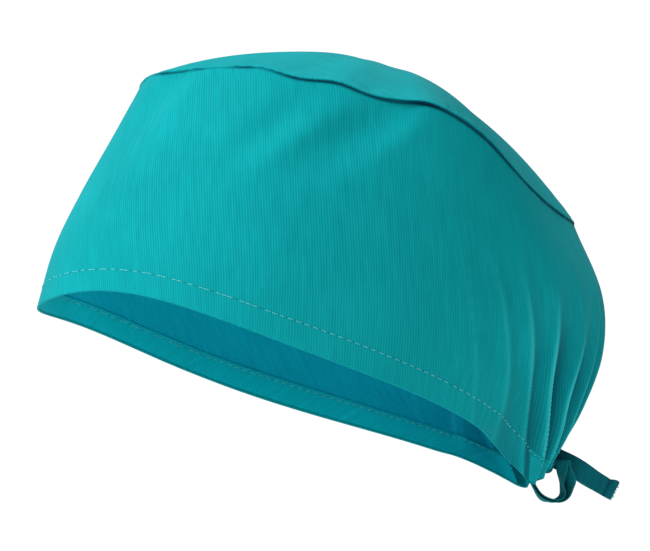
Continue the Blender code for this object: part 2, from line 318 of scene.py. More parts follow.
class CapFinish(bpy.types.PropertyGroup):
    face: colour_setting("Face", "Colour of the twill's face", (0.0, 0.355, 0.385))
    # The twill's back: partly its own colour, and lighter as painted light for the lit inside of
    # the cap
    back: colour_setting("Back", "Colour of the twill's back, lighter as painted light", (0.0, 0.545, 0.680))
    # The hem's inside shows the twill's face; its colour is lighter than the face as painted light
    # for the lit inside of the cap
    hem: colour_setting("Hem inside painted light", "Colour of the turned-up hem inside, lighter as painted light", (0.0, 0.640, 0.700))
    tie: colour_setting("Tie", "Colour of the tie's twill", (0.002, 0.190, 0.215))
    # The free tie's colour: the back of the twill, and darker as painted shade where the cap shades
    # the free end
    tie_back_shaded: colour_setting(
        "Tie back shaded", "Colour of the back of the tie's twill, darkened as painted shade", (0.002, 0.150, 0.180))
    thread: colour_setting("Thread", "Colour of the hem's sewing thread", (0.100, 0.640, 0.680))
    floor: colour_setting("Floor", "Colour of the studio floor", (0.26, 0.26, 0.26))
    floor_glow: colour_setting(
        "Floor glow", "Even light that the studio floor gives off", (0.50, 0.50, 0.50))
    rib_pitch: size_setting("Rib pitch", "Distance from one twill rib to the next", 0.00095)


def ease(value):
    """Smooth step from 0 to 1."""
    value = min(max(value, 0.0), 1.0)
    return value * value * (3.0 - 2.0 * value)


def bell(distance, spread):
    return math.exp(-((distance / spread) ** 2))


def between(values, heights, share):
    """Value at a height share, on a smooth curve through the values at the given heights."""
    last = len(values) - 1
    row = max(number for number in range(last) if number == 0 or heights[number] <= share)
    step = (share - heights[row]) / (heights[row + 1] - heights[row])
    here, ahead = values[row], values[row + 1]
    before = values[row - 1] if row > 0 else 2 * here - ahead
    beyond = values[row + 2] if row + 2 <= last else 2 * ahead - here
    square, cube = step * step, step ** 3
    return ((2 * cube - 3 * square + 1) * here + (cube - 2 * square + step) * (ahead - before) / 2
            + (3 * square - 2 * cube) * ahead + (cube - square) * (beyond - here) / 2)


def section_value(column, share):
    return between(SECTIONS[column], SECTIONS["height"], share)


def drawn_angle(angle, share):
    """Angle on the oval in degrees, with the back cloth crowded together towards the hem."""
    if angle <= 90:
        drawn = angle
    elif angle <= GATHER_START:
        drawn = 90 + (angle - 90) * (GATHER_OVAL - 90) / (GATHER_START - 90)
    else:
        rest = (180 - GATHER_OVAL) / (180 - GATHER_START)
        drawn = GATHER_OVAL + (angle - GATHER_START) * rest
    return angle + (drawn - angle) * (1 - share) ** 2


def rim_height(angle):
    """Height of the rim over its plane, as a share of the band's height."""
    cosine = math.cos(math.radians(angle))
    quarter = RIM_QUARTERS["front" if cosine > 0 else "back"]
    side = 1 - cosine ** 2
    notch = ease((angle - GATHER_START + 3) / (183 - GATHER_START))
    corner = ease((angle - GATHER_LEAD) / (GATHER_START - GATHER_LEAD))
    return (RIM_ARCH * side + quarter * 4 * side * cosine ** 2
            + NOTCH_RISE * notch + CORNER_DROP * corner)


def seam_height(angle):
    """Height of the crown seam over the rim's plane, as a share of the band's height."""
    cosine = math.cos(math.radians(angle))
    end = "front" if cosine > 0 else "back"
    side = 1 - cosine ** 2
    height = SEAM_HEIGHT[end] * cosine ** 2 + SEAM_HEIGHT["side"] * side
    height += SEAM_QUARTERS[end] * 4 * side * cosine ** 2
    return height + sum(wave["height"] * bell(angle - wave["angle"], wave["spread"])
                        for wave in SEAM_WAVES)


def fold_crests(share):
    """Angles of the gathered folds' crests at a height share."""
    return [between((fold["hem"], fold["middle"], fold["top"]), (0.0, 0.3, 0.6), min(share, 0.75))
            for fold in FOLDS]


def fold_profile(step, sharp):
    """Height across a fold, from its crest to the next; a sharp fold has creased crests."""
    soft = math.cos(2 * math.pi * step)
    away = 1 - abs(2 * step ** 0.90 - 1)
    away = math.sqrt(away * away + 0.036) - 0.19
    hanging = 2 * max(1 - away, 0.0) ** 1.6 - 1.15
    return soft + (hanging - soft) * sharp


def gathers(turn, share, crests):
    """Height of the gathered folds, as a share of the fold depth."""
    flat = 0.72 * (1 - ease(share / 0.16)) * (1 - ease((turn - 157) / 12))
    fade = (1 - ease((share - 0.12) / 0.78)) * (1 - flat)
    if turn <= crests[0]:
        return FOLDS[0]["height"] * ease(1 - (crests[0] - turn) / 9) * fade
    for number in range(len(crests) - 1):
        if turn <= crests[number + 1]:
            step = (turn - crests[number]) / (crests[number + 1] - crests[number])
            low, high = FOLDS[number]["height"], FOLDS[number + 1]["height"]
            height = low + (high - low) * step
            return height * fold_profile(step, ease((height - 0.1) / 0.6)) * fade
    step = (turn - crests[-1]) / (180 - crests[-1])
    return FOLDS[-1]["height"] * math.cos(math.pi * step) * fade


def valley_shade(turn, share, crests):
    """Painted shade behind each gathered crest and over the whole gathered back and, below 0, a
    painted highlight along each crest.
    """
    fade = ease((share + 0.10) / 0.12) * (1 - ease((share - 0.25) / 0.45))
    # Painted shade over the whole gathered back
    shade = 0.32 * ease((turn - 134) / 12)
    for number in range(len(crests) - 1):
        if crests[number] < turn <= crests[number + 1]:
            step = (turn - crests[number]) / (crests[number + 1] - crests[number])
            depth = ease((step - 0.04) / 0.10) * (1 - ease((step - 0.22) / 0.70))
            shade += 0.84 * FOLDS[number]["height"] * depth
    # Painted highlight along each crest
    line = max(fold["height"] * bell(turn - crest, 0.65) for fold, crest in zip(FOLDS, crests))
    return (shade - 0.95 * line) * fade


class CapForm:
    """The cap's form: places on its cloth from an angle round the head and a height share."""

    def __init__(self, sizes):
        self.half_length = sizes.half_length
        self.half_width = sizes.half_width
        self.height = sizes.band_height
        self.fold_depth = sizes.fold_depth
        self.dent_depth = sizes.dent_depth
        self.cosine, self.sine = math.cos(sizes.rim_pitch), math.sin(sizes.rim_pitch)
        self.crests = {}

    def placed(self, side, back, up):
        """World point from a place across, back along and up from the rim's plane."""
        return Vector((side, back * self.cosine + up * self.sine,
                       up * self.cosine - back * self.sine))

    def relief(self, angle, share):
        """How far the cloth stands out of its plain form, in metres."""
        turn = abs(angle)
        key = round(share, 5)
        if key not in self.crests:
            self.crests[key] = fold_crests(share)
        side = 1.0 if angle >= 0 else -1.0
        wander = 1.6 * noise.noise((side * 3.7, turn * 0.11, share * 2.5)) if side < 0 else 0.0
        height = gathers(min(turn + wander, 180.0) if turn < 176 else turn, share, self.crests[key])
        squeeze = 1 - 0.30 * ease((turn - 150) / 25) * (1 - share) ** 3
        out = self.fold_depth * height * squeeze
        out += CORNER_SWELL * ease((turn - GATHER_START) / 10) * (1 - share) ** 4
        for dent in DENTS:
            middle = dent["angle"] + dent["lean"] * (share - dent["height"])
            out -= self.dent_depth * dent["depth"] * bell(turn - middle, dent["spread"]) * bell(
                share - dent["height"], dent["tall"])
        place = Vector((math.cos(math.radians(angle)) * 2.4, math.sin(math.radians(angle)) * 2.4,
                        share * 1.9))
        calm = ease(share / 0.15)
        out += CLOTH_WAVER * noise.noise(place) * calm
        pucker = noise.noise((angle * 0.33, share * 1.2, 4.0))
        out += SEAM_PUCKER * pucker * ease((share - 0.88) / 0.12)
        return out

    def band_place(self, angle, share, inward=0.0, fine=True):
        """Side, back and up of the band's outer face; the angle runs from -180 to 180."""
        turn = abs(angle)
        level = min(max(share, 0.0), 1.0)
        oval = math.radians(drawn_angle(turn, level))
        ahead = math.cos(oval) > 0
        power = FRONT_POWER if ahead else BACK_POWER
        centre = section_value("centre", level)
        reach = (section_value("front", level) + centre if ahead
                 else section_value("back", level) - centre)
        along = abs(math.cos(oval)) ** power * (-1 if ahead else 1)
        back = self.half_length * (centre + reach * along)
        pinch = NOTCH_PINCH * ease((math.degrees(oval) - 143) / 22) * (1 - level) ** 4
        side = self.half_width * section_value("width", level) * math.sin(oval) ** power
        side *= 1 - pinch
        corner = ease((turn - GATHER_LEAD) / (GATHER_START - GATHER_LEAD))
        back += self.height * CORNER_OUT * corner * (1 - level) ** 3
        up = self.height * (rim_height(turn) * (1 - share) + seam_height(turn) * share)
        normal = Vector((math.sin(oval) / self.half_width,
                         -math.cos(oval) / self.half_length)).normalized()
        pressing_and_painted_highlight = 1 - 0.45 * ease((turn - PRESSED_FROM) / 14)
        out = (self.relief(angle, level) if fine else 0.0) - inward * pressing_and_painted_highlight
        side = math.copysign(1.0, angle) * (side + normal.x * out)
        return side, back + normal.y * out, up

    def crown_place(self, angle, reach):
        """Side, back and up of the crown panel's outer face, at a share of the way to its seam."""
        side, back, up = self.band_place(angle, 1.0, fine=False)
        top = CROWN_TOP * self.height
        middle = CROWN_CENTRE * self.half_length
        blend = (1 - math.cos(math.radians(angle))) / 2
        power = DOME_POWER["front"] + (DOME_POWER["back"] - DOME_POWER["front"]) * blend
        return (side * reach, middle + (back - middle) * reach,
                up + (top - up) * (1 - reach ** power))

    def notch_point(self, row, width):
        """World point of a route's row, measured from the centre back of the rim's notch."""
        origin = self.placed(*self.band_place(180.0, 0.0, fine=False))
        return origin + width * Vector((row["side"], row["back"], row["up"]))


def seam_gape(angle):
    """Width of the groove under the crown's lip, in metres."""
    turn = abs(angle)
    gape = 0.22 + 0.78 * ease((turn - 52) / 15)
    gape += sum(place["gape"] * bell(turn - place["angle"], place["spread"])
                for place in SEAM_GAPES)
    gape *= 1 + 0.22 * noise.noise((angle * 0.21, 0.0, 9.0))
    return SEAM_GROOVE * gape


def seam_shadow(angle):
    """How dark the crown seam's groove is."""
    turn = abs(angle)
    dark = 0.30 + 0.50 * ease((turn - 52) / 13)
    return min(dark + sum(place["gape"] * bell(turn - place["angle"], place["spread"])
                          for place in SEAM_GAPES), 1.0)


def seam_lip(angle):
    """How far the crown's lip stands out over the band, in metres."""
    turn = abs(angle)
    lip = 0.25 + 0.75 * ease((turn - 50) / 18)
    return SEAM_LIP * lip * (1 + 0.4 * noise.noise((angle * 0.25, 0.0, 2.0)))


def crumple(angle, level):
    """Height of the crown's crumples beside its seam, in metres."""
    broad = noise.noise((angle * 0.30, level * 9.0, 1.0)) * CRUMPLES
    return broad + noise.noise((angle * 0.75, level * 14.0, 5.0)) * FINE_CRUMPLES


def cloth_object(name, mesh_data, materials):
    """Object from a finished bmesh, with its cloth materials."""
    mesh = bpy.data.meshes.new(name)
    mesh_data.to_mesh(mesh)
    mesh_data.free()
    for material in materials:
        mesh.materials.append(material)
    mesh.shade_smooth()
    piece = bpy.data.objects.new(name, mesh)
    bpy.context.scene.collection.objects.link(piece)
    return piece


def thicken(piece, thickness, offset=-1.0, inner=1):
    """Gives a sheet its cloth's thickness; the inner side takes the second material."""
    solid = piece.modifiers.new("cloth thickness", "SOLIDIFY")
    solid.thickness = thickness
    solid.offset = offset
    solid.material_offset = inner
    solid.use_even_offset = False


def shape_grid(columns, rows, place, cloth, shade=None):
    """Grid of quads whose vertices go where place says; its UV map is in metres of cloth."""
    sheet = bmesh.new()
    bmesh.ops.create_grid(sheet, x_segments=columns, y_segments=rows, size=1.0)
    spots = {}
    for vert in sheet.verts:
        column = round((vert.co.x + 1) / 2 * columns)
        row = round((vert.co.y + 1) / 2 * rows)
        spots[vert.index] = (column, row)
    uv_map = sheet.loops.layers.uv.new("cloth")
    for face in sheet.faces:
        for loop in face.loops:
            loop[uv_map].uv = cloth(*spots[loop.vert.index])
    # Layer of painted shade, and below 0 painted highlight, that the twill reads
    shadow = sheet.verts.layers.float.new("shade")
    for vert in sheet.verts:
        vert.co = place(*spots[vert.index])
        if shade:
            vert[shadow] = shade(*spots[vert.index])
    return sheet


def band_rows(sizes):
    """Rows of the band's cloth: share, inward, v in metres along the cloth, from the hem's turned
    upper edge round the rim's fold and up to the crown seam."""
    height, roll = sizes.band_height, sizes.hem_roll
    rows = [(up * MILLIMETRE / height, inward * MILLIMETRE, -up * MILLIMETRE)
            for up, inward in CASING_INSIDE]
    for step in range(9):
        turn = math.pi * step / 8
        rows.append((-roll * math.sin(turn) / height, roll * (1 + math.cos(turn)),
                     roll * (turn - math.pi / 2)))
    rows += [(up * MILLIMETRE / height, 0.0, up * MILLIMETRE) for up in CASING_OUTSIDE]
    first = CASING_OUTSIDE[-1] * MILLIMETRE / height
    for number in range(1, BAND_ROWS + 1):
        share = first + (BAND_TOP_ROWS[0] - first) * number / BAND_ROWS
        rows.append((share, 0.0, height * share))
    rows += [(share, 0.0, height * share) for share in BAND_TOP_ROWS[1:]]
    return rows


def column_angle(column, sizes):
    """Angle of a column of the band's mesh, closer together over the gathers."""
    side, gather = sizes.side_columns, sizes.gather_columns
    number = column - side - gather
    turn = abs(number)
    if turn <= side:
        angle = DENSE_FROM * turn / side
    else:
        angle = DENSE_FROM + (180.0 - DENSE_FROM) * (turn - side) / gather
    return math.copysign(angle, number)


def cloth_lengths(form, sizes, share):
    """Length along the band's cloth from the centre front to each column."""
    columns = 2 * (sizes.side_columns + sizes.gather_columns)
    points = [form.placed(*form.band_place(column_angle(column, sizes), share, fine=False))
              for column in range(columns + 1)]
    lengths = [0.0]
    for here, ahead in zip(points, points[1:]):
        lengths.append(lengths[-1] + (ahead - here).length)
    return [length - lengths[-1] / 2 for length in lengths]


def node(tree, kind, **settings):
    made = tree.nodes.new(kind)
    for name, value in settings.items():
        setattr(made, name, value)
    return made


def link(tree, source, target, socket):
    """Links a (node, output) pair to a socket of the target."""
    tree.links.new(source[0].outputs[source[1]], target.inputs[socket])


def maths(tree, operation, first, second=None, clamp=False):
    """Maths node; an input is a number or a (node, output) pair."""
    made = node(tree, "ShaderNodeMath", operation=operation, use_clamp=clamp)
    for number, value in enumerate((first, second)):
        if isinstance(value, tuple):
            link(tree, value, made, number)
        elif value is not None:
            made.inputs[number].default_value = value
    return made


def weighted(tree, parts):
    """Sum of (node, output) pairs, each times its weight."""
    total = None
    for source, weight in parts:
        scaled = maths(tree, "MULTIPLY", source, weight)
        total = scaled if total is None else maths(tree, "ADD", (total, 0), (scaled, 0))
    return total


def stripe(tree, value, middle, spread):
    """1 on a line of a value, falling smoothly to 0 at its spread."""
    away = maths(tree, "SUBTRACT", value, middle)
    size = maths(tree, "ABSOLUTE", (away, 0))
    share = maths(tree, "DIVIDE", (size, 0), spread)
    rest = maths(tree, "SUBTRACT", 1.0, (share, 0), clamp=True)
    return maths(tree, "MULTIPLY", (rest, 0), (rest, 0))


def pattern(tree, kind, source, values, **settings):
    """Mapping or texture node on a (node, output) pair, with its inputs' values."""
    made = node(tree, kind, **settings)
    for name, value in values.items():
        made.inputs[name].default_value = value
    link(tree, source, made, "Vector")
    return made


def bands(tree, source, direction, pitch, **values):
    """Wave texture whose bands are a pitch apart."""
    values = {name.replace("_", " ").title(): value for name, value in values.items()}
    return pattern(tree, "ShaderNodeTexWave", source, {"Scale": math.pi / 10 / pitch, **values},
                   wave_type="BANDS", bands_direction=direction)


def tones(tree, source, low, high):
    """Ramp from a low tone to a high one; each is a position and a colour."""
    ramp = node(tree, "ShaderNodeValToRGB")
    for element, (position, tone) in zip(ramp.color_ramp.elements, (low, high)):
        element.position = position
        element.color = (*tone, 1.0)
    link(tree, source, ramp, "Fac")
    return ramp


def laid_over(tree, factor, under, tone):
    """Mix of a tone over a colour; factor and under are (node, output) pairs."""
    mix = node(tree, "ShaderNodeMix", data_type="RGBA")
    mix.inputs["B"].default_value = (*tone, 1.0)
    link(tree, factor, mix, "Factor")
    link(tree, under, mix, "A")
    return mix


def raised(tree, height, shader, strength):
    """Relief of the weave or the thread; height is a (node, output) pair."""
    bump = node(tree, "ShaderNodeBump")
    bump.inputs["Strength"].default_value = strength
    bump.inputs["Distance"].default_value = 0.0001
    link(tree, height, bump, "Height")
    link(tree, (bump, 0), shader, "Normal")


def new_material(name):
    material = bpy.data.materials.new(name)
    material.use_nodes = True
    return material, material.node_tree, material.node_tree.nodes["Principled BSDF"]


def twill(sizes, finish, name):
    """Woven twill, made once: slanted ribs and broken threads on the cloth's UV map."""
    found = bpy.data.materials.get(name)
    if found:
        return found
    material, tree, shader = new_material(name)
    colour = getattr(finish, TWILLS[name]["colour"])
    pitch = finish.rib_pitch * TWILLS[name]["pitch"]
    light, dark = TWILLS[name]["tones"]
    cloth = node(tree, "ShaderNodeUVMap", uv_map="cloth")
    lean = (0, 0, math.radians(TWILLS[name]["lean"]))
    turned = pattern(tree, "ShaderNodeMapping", (cloth, 0), {"Rotation": lean})
    ribs = bands(tree, (turned, 0), "X", pitch, distortion=0.9, detail=1.0, detail_scale=0.55)
    threads = bands(tree, (turned, 0), "DIAGONAL", pitch * 0.62, distortion=1.6, detail_scale=0.8)
    stretched = pattern(tree, "ShaderNodeMapping", (turned, 0), {"Scale": (1.0, 0.10, 1.0)})
    slubs = pattern(tree, "ShaderNodeTexNoise", (stretched, 0), {"Scale": 620.0, "Detail": 3.0})
    grain = pattern(tree, "ShaderNodeTexNoise", (turned, 0), {"Scale": 2600.0, "Detail": 2.0})
    place = node(tree, "ShaderNodeTexCoord")
    patches = pattern(tree, "ShaderNodeTexNoise", (place, "Object"), {"Scale": 22.0, "Detail": 3.0})

    height = weighted(tree, (((ribs, "Fac"), 0.45), ((threads, "Fac"), 0.15),
                             ((grain, "Fac"), 0.30)))
    tone = weighted(tree, (((height, 0), 0.50), ((slubs, "Fac"), 0.30), ((patches, "Fac"), 0.30)))
    woven = tones(tree, (tone, 0), (0.28, [part * dark for part in colour]),
                  (0.74, [min(part * light + 0.004, 1.0) for part in colour]))

    # Painted shade: where the shade attribute is above 0 it darkens the weave towards a deep tone
    shadow = node(tree, "ShaderNodeAttribute", attribute_name="shade")
    painted_shadow_tone = (0.0, colour[1] * 0.13, colour[2] * 0.24)
    last = laid_over(tree, (shadow, "Fac"), (woven, 0), painted_shadow_tone)
    # Painted highlight: where the shade attribute is below 0 it lightens the weave along the
    # gathered crests
    pressing_and_painted_highlight = maths(tree, "MULTIPLY", (shadow, "Fac"), -1.0)
    pale = (0.08, *(min(part * 2.3, 1.0) for part in colour[1:]))
    last = laid_over(tree, (pressing_and_painted_highlight, 0), (last, "Result"), pale)

    parts = node(tree, "ShaderNodeSeparateXYZ")
    link(tree, (cloth, 0), parts, "Vector")
    relief = height
    for row in HEM_LINES.get(name, []):
        line = stripe(tree, (parts, "Y"), row["at"] * sizes.hem_height, row["spread"])
        amount = maths(tree, "MULTIPLY", (line, 0), row["strength"])
        last = laid_over(tree, (amount, 0), (last, "Result"),
                         [min(part * row["tone"], 1.0) for part in colour])
        sunk = maths(tree, "MULTIPLY", (line, 0), row["sink"])
        relief = maths(tree, "SUBTRACT", (relief, 0), (sunk, 0))
    link(tree, (last, "Result"), shader, "Base Color")
    raised(tree, (relief, 0), shader, 0.45)

    rough = node(tree, "ShaderNodeMapRange")
    rough.inputs["To Min"].default_value = 0.86
    rough.inputs["To Max"].default_value = 0.68
    link(tree, (height, 0), rough, "Value")
    link(tree, (rough, 0), shader, "Roughness")
    shader.inputs["Specular IOR Level"].default_value = 0.04
    shader.inputs["Sheen Weight"].default_value = 0.05
    shader.inputs["Sheen Roughness"].default_value = 0.45
    shader.inputs["Sheen Tint"].default_value = (0.55, 0.95, 1.0, 1.0)
    return material


def twisted_thread(name, colour, pitch):
    """Sewing thread whose twists are a pitch apart."""
    material, tree, shader = new_material(name)
    place = node(tree, "ShaderNodeTexCoord")
    twist = bands(tree, (place, "Object"), "DIAGONAL", pitch)
    plied = tones(tree, (twist, "Fac"), (0.0, [part * 0.7 for part in colour]),
                  (1.0, [min(part * 1.35, 1.0) for part in colour]))
    link(tree, (plied, 0), shader, "Base Color")
    raised(tree, (twist, "Fac"), shader, 0.5)
    shader.inputs["Roughness"].default_value = 0.55
    shader.inputs["Specular IOR Level"].default_value = 0.2
    return material


class CAP_OT_side_band(bpy.types.Operator):
    """Side band of the cap: one sheet with its hem turned up inside and gathered at the back"""
    bl_idname = "cap.side_band"
    bl_label = "Side band"

    def execute(self, context):
        sizes, finish = context.scene.cap_sizes, context.scene.cap_finish
        form = CapForm(sizes)
        rows = band_rows(sizes)
        columns = 2 * (sizes.side_columns + sizes.gather_columns)
        lengths = cloth_lengths(form, sizes, 0.5)
        angles = [column_angle(column, sizes) for column in range(columns + 1)]
        height = sizes.band_height
        inside_rows = sum(row[2] < 0 for row in rows)

        def edge_share(angle, lift=0.0):
            return 1 - (seam_gape(angle) + EDGE_BELOW - lift) / height

        def spot(column, row):
            """Height share and inward place of a row of the band or of its tucked edge."""
            if row < len(rows):
                share, inward, _ = rows[row]
                if share > 0.95:
                    top = edge_share(angles[column])
                    share = 0.95 + (share - 0.95) * (top - 0.95) / (1 - 0.95)
                return share, inward
            lift, inward = BAND_TUCK[row - len(rows)]
            return edge_share(angles[column], lift * MILLIMETRE), inward * MILLIMETRE

        def place(column, row):
            share, inward = spot(column, row)
            return form.placed(*form.band_place(angles[column], share, inward))

        def cloth(column, row):
            along = rows[row][2] if row < len(rows) else height * (1 + 0.004 * (row - len(rows)))
            return lengths[column], along

        # Painted shadow in the crown seam's groove and on the tucked top edge, and painted shade
        # and highlight over the gathers
        def shade(column, row):
            share, inward = spot(column, row)
            if row < inside_rows or share > 0.9:
                top = edge_share(angles[column])
                depth = (share - top) * height + inward * 1.5 * (share > 0.9)
                return seam_shadow(angles[column]) * ease((depth + 0.0007) / 0.0007)
            level = max(share, 0.0)
            return valley_shade(abs(angles[column]), level, fold_crests(level))

        sheet = shape_grid(columns, len(rows) + len(BAND_TUCK) - 1, place, cloth, shade)
        bmesh.ops.remove_doubles(sheet, verts=sheet.verts, dist=0.00002)
        uv_map = sheet.loops.layers.uv["cloth"]
        for face in sheet.faces:
            along = sum(loop[uv_map].uv.y for loop in face.loops) / 4
            if along < -0.0008:
                face.material_index = 4
            elif along < sizes.hem_height + 0.0012:
                face.material_index = 2
        # The hem's inside takes the lighter twill, which is painted light
        face, back, hem = (twill(sizes, finish, name) for name in (
            "cap twill face", "cap twill back", "hem twill inside"))
        band = cloth_object("band_cloth", sheet, [face, back, face, face, hem, face])
        thicken(band, sizes.cloth)
        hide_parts("side_band")
        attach(band, "root")
        return {"FINISHED"}


class CAP_OT_crown_panel(bpy.types.Operator):
    """Oval crown panel, domed over the band, with its lip and seam allowance"""
    bl_idname = "cap.crown_panel"
    bl_label = "Crown panel"

    def execute(self, context):
        sizes, finish = context.scene.cap_sizes, context.scene.cap_finish
        form = CapForm(sizes)
        steps, rings = 300, 64
        sheet = bmesh.new()
        uv_map = sheet.loops.layers.uv.new("cloth")
        shadow = sheet.verts.layers.float.new("shade")
        bmesh.ops.create_circle(sheet, cap_ends=False, radius=1.0, segments=steps)
        ring = list(sheet.edges)
        turns = [math.radians(turn) for turn in (22, 45, 68, 90, 112, 135, 158, 180)]
        under = [(LIP_ROLL * math.sin(turn), -LIP_ROLL * (1 - math.cos(turn))) for turn in turns]
        under += LIP_TUCK
        rows = [("lip", spot) for spot in reversed(under)]
        dark_rows = len(under) - 3
        rows += [("dome", round(1 - 0.5 * (1 - math.cos(math.pi * number / rings)), 6))
                 for number in range(rings)]
        angle_of = {vert: math.degrees(math.atan2(vert.co.x, -vert.co.y)) for vert in sheet.verts}
        row_of = {vert: 0 for vert in sheet.verts}
        for number in range(1, len(rows)):
            made = bmesh.ops.extrude_edge_only(sheet, edges=ring)
            fresh = [item for item in made["geom"] if isinstance(item, bmesh.types.BMVert)]
            ring = [item for item in made["geom"] if isinstance(item, bmesh.types.BMEdge)]
            for vert in fresh:
                angle_of[vert] = math.degrees(math.atan2(vert.co.x, -vert.co.y))
                row_of[vert] = number
        bmesh.ops.contextual_create(sheet, geom=ring)
        centre = bmesh.ops.poke(sheet, faces=[face for face in sheet.faces if len(face.verts) > 4])
        top = centre["verts"][0]
        angle_of[top], row_of[top] = 0.0, len(rows)

        def place(angle, row):
            if row >= len(rows):
                return form.placed(*form.crown_place(0.0, 0.0))
            kind, level = rows[row]
            if kind == "dome":
                side, back, up = form.crown_place(angle, level)
                near = ease((level - 0.80) / 0.20)
                oval = Vector((side, back)).normalized()
                lip = (seam_lip(angle) - LIP_ROLL) * ease((level - 0.965) / 0.035)
                rough = crumple(angle, level) * near
                rough *= 1 - 0.75 * ease((level - 0.985) / 0.015)
                rough += noise.noise((side * 26, back * 26, 7.0)) * 0.0006 * (1 - near)
                return form.placed(side + oval.x * lip, back + oval.y * lip,
                                   up + CROWN_LIFT + rough)
            out, down = level
            side, back, up = form.band_place(angle, 1.0, fine=False)
            oval = Vector((side, back)).normalized()
            reach = seam_lip(angle) - LIP_ROLL + out
            return form.placed(side + oval.x * reach, back + oval.y * reach,
                               up + CROWN_LIFT + crumple(angle, 1.0) * 0.25 + down)

        for face in sheet.faces:
            for loop in face.loops:
                point = place(angle_of[loop.vert], row_of[loop.vert])
                loop[uv_map].uv = (point.y, point.x)
        for vert in sheet.verts:
            angle, row = angle_of[vert], row_of[vert]
            vert.co = place(angle, row)
            # Painted shadow under the crown's rolled lip and on its turned-in allowance
            vert[shadow] = seam_shadow(angle) * ease((dark_rows - row) / 3)
        bmesh.ops.recalc_face_normals(sheet, faces=sheet.faces)
        if top.link_faces[0].normal.z < 0:
            bmesh.ops.reverse_faces(sheet, faces=sheet.faces)
        crown = cloth_object("crown_cloth", sheet, [
            twill(sizes, finish, name) for name in ("crown twill face", "cap twill back")])
        thicken(crown, sizes.cloth)
        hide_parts("crown_panel")
        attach(crown, "root")
        return {"FINISHED"}


def stitch_row(threads, form, sizes, inside):
    """Row of short stitches along the hem, laid in the cloth's own direction."""
    columns = 2 * (sizes.side_columns + sizes.gather_columns)
    share = sizes.hem_height / sizes.band_height
    inward = CASING_DEPTH if inside else 0.0
    angles = [column_angle(column, sizes) for column in range(columns + 1)]
    points = [form.placed(*form.band_place(angle, share, inward)) for angle in angles]
    travelled, stitch = 0.0, 0
    for number in range(columns):
        here, ahead = points[number], points[number + 1]
        travelled += (ahead - here).length
        if travelled < sizes.stitch_pitch * (stitch + 0.5):
            continue
        stitch += 1
        along = (ahead - here).normalized()
        upper = form.placed(*form.band_place(angles[number], share + 0.01, inward))
        upward = (upper - here).normalized()
        outward = along.cross(upward).normalized() * (-1 if inside else 1)
        length = sizes.stitch_length * (1 - 0.55 * ease((abs(angles[number]) - 140) / 12))
        thread = bmesh.ops.create_uvsphere(threads, u_segments=6, v_segments=5, radius=0.5)
        sway = 0.04 * noise.noise((stitch * 1.7, 2.0 if inside else 0.0, 0.0))
        for vert in thread["verts"]:
            long, wide, tall = vert.co.z, vert.co.x, vert.co.y
            bend = 1 - 2.4 * long * long
            vert.co = (here + along * long * length
                       + upward * (wide * STITCH_WIDTH + sway * long * length)
                       + outward * (tall * STITCH_THICKNESS + STITCH_BOW * bend))


class CAP_OT_hem_stitches(bpy.types.Operator):
    """Stitched rows of the hem, outside and inside the band"""
    bl_idname = "cap.hem_stitches"
    bl_label = "Hem stitches"

    def execute(self, context):
        sizes, finish = context.scene.cap_sizes, context.scene.cap_finish
        form = CapForm(sizes)
        threads = bmesh.new()
        stitch_row(threads, form, sizes, inside=False)
        stitch_row(threads, form, sizes, inside=True)
        material = twisted_thread("hem thread", finish.thread, sizes.stitch_pitch / 10)
        stitches = cloth_object("hem_stitches", threads, [material])
        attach(stitches, "root")
        return {"FINISHED"}


def smooth_route(form, route, width, steps):
    """Points and twists along a smooth curve through the route's rows."""
    points = [form.notch_point(row, width) for row in route]
    turns = [row["turn"] for row in route]
    count = (len(points) - 1) * steps
    places = list(range(len(points)))
    result = []
    for number in range(count + 1):
        spot = number / steps
        point = Vector([between([p[axis] for p in points], places, spot) for axis in range(3)])
        result.append((point, math.radians(between(turns, places, spot))))
    return result


def tape_frame(along, turn):
    """Directions across and out of a tape that runs along a line, turned about it."""
    level = (Vector((1.0, 0.0, 0.0)) - along * along.x).normalized()
    upright = along.cross(level)
    width = level * math.cos(turn) + upright * math.sin(turn)
    return width, along.cross(width)


